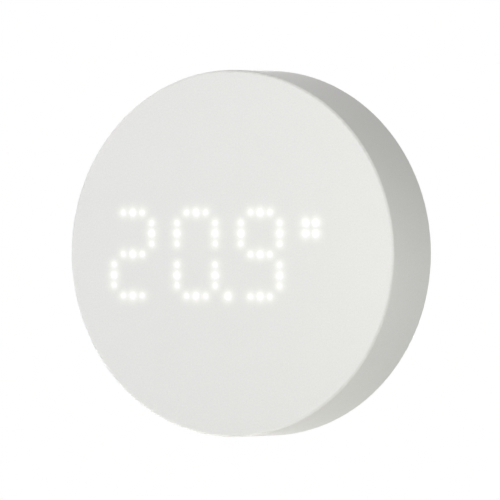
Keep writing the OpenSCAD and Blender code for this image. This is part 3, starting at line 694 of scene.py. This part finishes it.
# The display's light-emitting chips sit on the board's front, one behind every bar. Each is potted in
# silicone with yellow phosphor and shines through the mask.
phosphor_grain = 0.1 * mm
phosphor, tree, shader, place = new_material(
    "phosphor_silicone", Roughness=0.35, Emission_Color=linear("FFFFF6"), Emission_Strength=0.5,
)
phosphor.cycles.emission_sampling = "NONE"
grains = node(tree, "ShaderNodeTexNoise", {"Vector": place, "Scale": 1 / phosphor_grain, "Detail": 2})
phosphor_tint = node(tree, "ShaderNodeMix", {
    "Factor": grains.outputs["Fac"], "A": linear("F3EDC4"), "B": linear("EADF9A"),
}, data_type="RGBA")
tree.links.new(phosphor_tint.outputs["Result"], shader.inputs["Base Color"])
dress(phosphor, "display_leds")

# The mask over them is black polycarbonate with a light pocket behind every bar and a hole for every dot.
# A white film of matt polyester lies between it and the face.
mask_pc = grained("black_polycarbonate", "1F1F20", "1B1B1C", 0.55, 0.3 * mm, 0.008 * mm)
dress(mask_pc, "display_mask")
polyester = grained("white_polyester_film", "F2F2F0", "EFEFED", 0.6, 0.12 * mm, 0.002 * mm)
dress(polyester, "display_diffuser")

# The front cover is one moulding of white ABS, matt from its eroded tool and thin enough over the display
# for the lit dots to shine through. That light is painted on the cover as a glow: each dot is a bright core
# in a halo that the plastic spreads.
cover_abs = grained("white_abs_cover", "EEEEED", "E0E0DF", 0.5, 0.4 * mm, 0.03 * mm)
tree = cover_abs.node_tree
shader = tree.nodes["Principled BSDF"]
place = next(n for n in tree.nodes if n.type == "TEX_COORD").outputs["Object"]
column_step = 2.5 * mm
row_step = 2.4 * mm
digit_step = 16.7 * mm

# A dot's light fades e times over the length of a halo. The lights of neighbours add up less than fully: it
# is their powers of crowding that are summed.
halo = 0.62 * mm
crowding = 1.5
end_dot_share = 0.68
sign_dot_share = 1.08
core_light = 0.79
halo_light = 0.1
white_light = 0.2
halo_colour = "F9FFDF"
core_colour = "FFFFFF"
last_column = 4
last_row = 8
sign_cell = 3

# One group adds up the light of a middle dot and of the two or four dots that lie a step from it.
dots_of_light, given = new_group("dots_of_light", "ShaderNodeTree", {
    "Place": "Vector", "Centre": "Vector", "Step": "Vector", "Middle": "Float", "Ends": "Float",
}, ("Light", "Float"))
offset = node(dots_of_light, "ShaderNodeVectorMath", {0: given["Place"], 1: given["Centre"]},
              operation="SUBTRACT")
folded = node(dots_of_light, "ShaderNodeVectorMath", {0: offset.outputs["Vector"]}, operation="ABSOLUTE")
shares = []
for target, share in (((0, 0, 0), given["Middle"]), (given["Step"], given["Ends"])):
    away = node(dots_of_light, "ShaderNodeVectorMath", {0: folded.outputs["Vector"], 1: target},
                operation="DISTANCE")
    fall = node(dots_of_light, "ShaderNodeMath", {0: away.outputs["Value"], 1: -crowding / halo},
                operation="MULTIPLY")
    fade = node(dots_of_light, "ShaderNodeMath", {0: fall.outputs["Value"]}, operation="EXPONENT")
    shares.append(node(dots_of_light, "ShaderNodeMath", {0: fade.outputs["Value"], 1: share},
                       operation="MULTIPLY"))
both = node(dots_of_light, "ShaderNodeMath", {0: shares[0].outputs["Value"], 1: shares[1].outputs["Value"]},
            operation="ADD")
node(dots_of_light, "NodeGroupOutput", {"Light": both.outputs["Value"]})

film_low, film_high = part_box("display_diffuser")
display_centre = (film_low + film_high) / 2
first_column = display_centre.x - (sign_cell * digit_step + last_column * column_step) / 2
face_y = cad_low.y


def dot_at(cell, column, row):
    """Place on the face of a dot of a digit, or of the sign beside the digits."""
    x = first_column + cell * digit_step + column * column_step
    return Vector((x, face_y, display_centre.z + (last_row / 2 - row) * row_step))


flat_step = Vector((column_step, 0, 0))
upright_step = Vector((0, 0, row_step))
bars = {
    "top": (2, 0, flat_step), "upper_right": (4, 2, upright_step), "lower_right": (4, 6, upright_step),
    "bottom": (2, 8, flat_step), "lower_left": (0, 6, upright_step), "upper_left": (0, 2, upright_step),
    "middle": (2, 4, flat_step),
}
dark_bars = [{"upper_left", "lower_right"}, {"middle"}, {"lower_left"}]
end_light = end_dot_share ** crowding
sign_light = sign_dot_share ** crowding
lit = []
for cell, dark in enumerate(dark_bars):
    for name, (column, row, step) in bars.items():
        if name not in dark:
            lit.append((dot_at(cell, column, row), step, 1.0, end_light))
point = (dot_at(1, last_column, last_row) + dot_at(2, 0, last_row)) / 2
lit.append((point, flat_step, sign_light, 0.0))
sign = (dot_at(sign_cell, 0, 1) + dot_at(sign_cell, 1, 2)) / 2
lit.append((sign, (flat_step + upright_step) / 2, 0.0, sign_light))
total = None
for centre, step, middle, ends in lit:
    dots = node(tree, "ShaderNodeGroup", {
        "Place": place, "Centre": centre, "Step": step, "Middle": middle, "Ends": ends,
    }, node_tree=dots_of_light)
    if total is None:
        total = dots.outputs["Light"]
    else:
        total = node(tree, "ShaderNodeMath", {0: total, 1: dots.outputs["Light"]}).outputs["Value"]
spread = node(tree, "ShaderNodeMath", {0: total, 1: 1 / crowding}, operation="POWER")
glow = node(tree, "ShaderNodeMath", {0: spread.outputs["Value"], 1: core_light}, operation="MULTIPLY")
core = node(tree, "ShaderNodeMapRange", {
    "Value": glow.outputs["Value"], "From Min": halo_light, "From Max": white_light,
}, interpolation_type="SMOOTHSTEP")
glow_tint = node(tree, "ShaderNodeMix", {
    "Factor": core.outputs["Result"], "A": linear(halo_colour), "B": linear(core_colour),
}, data_type="RGBA")
# The painted glow is given to the cover as its emission.
tree.links.new(glow_tint.outputs["Result"], shader.inputs["Emission Color"])
tree.links.new(glow.outputs["Value"], shader.inputs["Emission Strength"])
cover_abs.cycles.emission_sampling = "NONE"
dress(cover_abs, "front_cover")

# Pan-head screws of zinc-plated steel, cold-headed with a cross recess and rolled with a coarse thread that
# cuts into plastic. Four hold the rear housing to the cover from behind, and three small ones the board.
bloom_size = 0.6 * mm
zinc, tree, shader, place = new_material("zinc_plated_steel", Metallic=1.0)
shader.inputs["Base Color"].default_value = linear("C3C5C8")
bloom = node(tree, "ShaderNodeTexNoise", {"Vector": place, "Scale": 1 / bloom_size, "Detail": 3})
zinc_gloss = node(tree, "ShaderNodeMapRange", {
    "Value": bloom.outputs["Fac"], "To Min": 0.24, "To Max": 0.44,
})
tree.links.new(zinc_gloss.outputs["Result"], shader.inputs["Roughness"])
screw_steps = 48
rows_per_turn = 6
screw_seed = 3
sliver = 0.001 * mm

# Shares of the head's height and radius, of the shank's radius, and of a turn of the thread.
head_edge_share = 0.5
crown_share = 0.6
crown_level = 0.985
shoulder_level = 0.96
core_share = 0.76
tip_share = 0.6
ridge_share = 0.25

# Level, reach and width of each wing of the recess, as shares of the head's height and radius.
recess_mouth = (1.1, 1.1, 0.26)
recess_floor = (0.35, 0.5, 0.2)


def screw_blank(name, head_radius, head_height, shank_radius, length, pitch):
    """Draws a screw along y, its seat at zero and its head towards +y, and sinks a cross in the head."""
    edge = head_edge_share * head_height
    core = core_share * shank_radius
    outline = [
        (0, head_height), (crown_share * (head_radius - edge), crown_level * head_height),
        *arc(head_radius - edge, shoulder_level * head_height - edge, edge, 90, 0),
        (head_radius, 0), (core, 0),
    ]
    rows = int(rows_per_turn * (length - shank_radius) / pitch)
    for row in range(1, rows):
        turns = [(row / rows_per_turn + i / screw_steps) % 1 for i in range(screw_steps)]
        ridges = [max(0, 1 - abs(turn - 0.5) / ridge_share) for turn in turns]
        radii = [core + (shank_radius - core) * ridge for ridge in ridges]
        outline.append((radii, -row * pitch / rows_per_turn))
    outline += [(core, shank_radius - length), (tip_share * core, -length), (0, -length)]
    shape = bmesh.new()
    add_lathe(shape, outline, screw_steps)
    blank = piece_from(shape, name, zinc)
    for turn in (0, math.pi / 2):
        wing = bmesh.new()
        bmesh.ops.create_cube(wing, size=1)
        for corner in wing.verts:
            level, reach, width = recess_mouth if corner.co.y > 0 else recess_floor
            corner.co.x *= head_radius * reach
            corner.co.z *= head_radius * width
            corner.co.y = level * head_height
        bmesh.ops.rotate(wing, verts=wing.verts, matrix=Matrix.Rotation(turn, 3, "Y"))
        cutter = piece_from(wing, name + "_recess")
        sunk = blank.modifiers.new("recess", "BOOLEAN")
        sunk.object = cutter
        sunk.solver = "EXACT"
        graph = bpy.context.evaluated_depsgraph_get()
        blank.data = bpy.data.meshes.new_from_object(blank.evaluated_get(graph), depsgraph=graph)
        blank.modifiers.clear()
        bpy.data.objects.remove(cutter)
    # The cuts leave a few faces with no area, which are closed up.
    cleaned = bmesh.new()
    cleaned.from_mesh(blank.data)
    bmesh.ops.dissolve_degenerate(cleaned, dist=sliver, edges=cleaned.edges)
    cleaned.to_mesh(blank.data)
    cleaned.free()
    return blank


# One group sets a screw on every point, each driven home at its own angle.
screws_in_place, given = new_group("screws_in_place", "GeometryNodeTree", {
    "Places": "Geometry", "Screw": "Object", "Seed": "Int", "Metal": "Material",
}, ("Screws", "Geometry"))
one_screw = node(screws_in_place, "GeometryNodeObjectInfo", {
    "Object": given["Screw"], "As Instance": True,
})
driven = node(screws_in_place, "FunctionNodeRandomValue", {
    "Min": (0, 0, 0), "Max": (0, 2 * math.pi, 0), "Seed": given["Seed"],
}, data_type="FLOAT_VECTOR")
set_down = node(screws_in_place, "GeometryNodeInstanceOnPoints", {
    "Points": given["Places"], "Instance": one_screw.outputs["Geometry"],
    "Rotation": driven.outputs["Value"],
})
realised = node(screws_in_place, "GeometryNodeRealizeInstances", {
    "Geometry": set_down.outputs["Instances"],
})
plated = node(screws_in_place, "GeometryNodeSetMaterial", {
    "Geometry": realised.outputs["Geometry"], "Material": given["Metal"],
})
node(screws_in_place, "NodeGroupOutput", {"Screws": plated.outputs["Geometry"]})

for name, head_radius, head_height, shank_radius, pitch, angles in (
    ("case_screws", 2 * mm, 1.5 * mm, 1 * mm, 0.9 * mm, (45, 135, 225, 315)),
    ("board_screws", 1.8 * mm, 1.3 * mm, 0.85 * mm, 0.75 * mm, (38, 142, 270)),
):
    screws_low, screws_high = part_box(name)
    seat = screws_high.y - head_height
    lowest = min(math.sin(math.radians(angle)) for angle in angles)
    circle = (screws_low.z + head_radius) / lowest
    blank = screw_blank(name + "_blank", head_radius, head_height, shank_radius, seat - screws_low.y, pitch)
    places = bpy.data.meshes.new(name + "_places")
    places.from_pydata([
        (circle * math.cos(math.radians(a)), seat, circle * math.sin(math.radians(a))) for a in angles
    ], [], [])
    screws = grown(name.replace("_screws", "_fixings"), screws_in_place,
                   {"Screw": blank, "Seed": screw_seed, "Metal": zinc}, places)
    bpy.data.objects.remove(blank)
    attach(screws, "sensor_unit")
    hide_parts(name)

# A plain pale floor lies well below the sensor and shows white, with its shadows, to the camera and in
# reflections. The same white is the background all round.
scene.view_settings.view_transform = "Standard"
floor_radius = 3.0
floor_level = -1.2
floor_sides = 64
floor_lift = 0.4
floor_mesh = bpy.data.meshes.new("floor")
shape = bmesh.new()
bmesh.ops.create_circle(shape, cap_ends=True, segments=floor_sides, radius=floor_radius)
shape.to_mesh(floor_mesh)
shape.free()
floor_mesh.transform(Matrix.Translation((0, 0, floor_level)))
floor = bpy.data.objects.new("floor", floor_mesh)
scene.collection.objects.link(floor)


def seen_directly(tree):
    """One where the camera, a reflection or clear plastic sees the surface, and zero for its light."""
    path = node(tree, "ShaderNodeLightPath").outputs
    seen = node(tree, "ShaderNodeMath", {0: path["Is Camera Ray"], 1: path["Is Glossy Ray"]},
                operation="MAXIMUM")
    return node(tree, "ShaderNodeMath", {0: seen.outputs["Value"], 1: path["Is Transmission Ray"]},
                operation="MAXIMUM").outputs["Value"]


floor_paint = bpy.data.materials.new("white_paint")
floor_paint.use_nodes = True
tree = floor_paint.node_tree
tree.nodes.clear()
matt = node(tree, "ShaderNodeBsdfDiffuse", {"Color": linear("EEEEEC")})
lift = node(tree, "ShaderNodeMath", {0: seen_directly(tree), 1: floor_lift}, operation="MULTIPLY")
white = node(tree, "ShaderNodeEmission", {"Strength": lift.outputs["Value"]})
lifted = node(tree, "ShaderNodeAddShader", {0: matt.outputs["BSDF"], 1: white.outputs["Emission"]})
node(tree, "ShaderNodeOutputMaterial", {"Surface": lifted.outputs["Shader"]})
floor_mesh.materials.append(floor_paint)

# The world is white where the camera or a reflection sees it, and only a soft fill light on the sensor,
# so that the white background puts no more light on the plastic.
world = bpy.data.worlds.new("studio")
scene.world = world
world.use_nodes = True
tree = world.node_tree
tree.nodes.clear()
seen = seen_directly(tree)
ambient_light = 0.2
level = node(tree, "ShaderNodeMapRange", {"Value": seen, "To Min": ambient_light, "To Max": 1.0})
sky = node(tree, "ShaderNodeBackground", {"Color": (1, 1, 1, 1), "Strength": level.outputs["Result"]})
node(tree, "ShaderNodeOutputWorld", {"Surface": sky.outputs["Background"]})

# Softboxes round the sensor, each aimed at it. Those on the left are a little cooler than those on the
# right, and the main ones above and below are cream. A row gives place, side and watts, then the tint.
cool = (0.971, 0.978, 1)
cream = (1, 0.974, 0.883)
warm = (0.988, 1, 0.926)
neutral = (1, 1, 1)
softboxes = [
    ("left", (-0.225, -0.278, 0.0), 0.2, 0.4, cool),
    ("far_low_left", (-0.638, -0.379, -0.516), 0.5, 1.32, cool),
    ("low_left", (-0.2, -0.03, -0.2), 0.1, 0.055, cool),
    ("upper_left", (-0.29, 0.02, 0.18), 0.2, 0.14, cool),
    ("over_left", (-0.058, -0.079, 0.338), 0.2, 0.203, cream),
    ("over_front", (0.0, -0.163, 0.129), 0.1, 0.0455, neutral),
    ("under_left", (-0.1, -0.05, -0.25), 0.1, 0.245, cream),
    ("near_right", (0.129, -0.163, 0.0), 0.1, 0.14, warm),
    ("low_right", (0.267, -0.033, -0.225), 0.2, 0.256, warm),
    ("right_back", (0.35, 0.1, 0.0), 0.2, 0.034, warm),
    ("behind", (-0.45, 1.12, 0.0), 0.4, 8.6, neutral),
]
for name, spot, side, watts, colour in softboxes:
    lamp = bpy.data.lights.new(name, "AREA")
    lamp.size = side
    lamp.energy = watts
    lamp.color = colour
    holder = bpy.data.objects.new(name, lamp)
    holder.location = spot
    holder.rotation_mode = "QUATERNION"
    holder.rotation_quaternion = (view_target - Vector(spot)).to_track_quat("-Z", "Y")
    holder.visible_camera = False
    scene.collection.objects.link(holder)
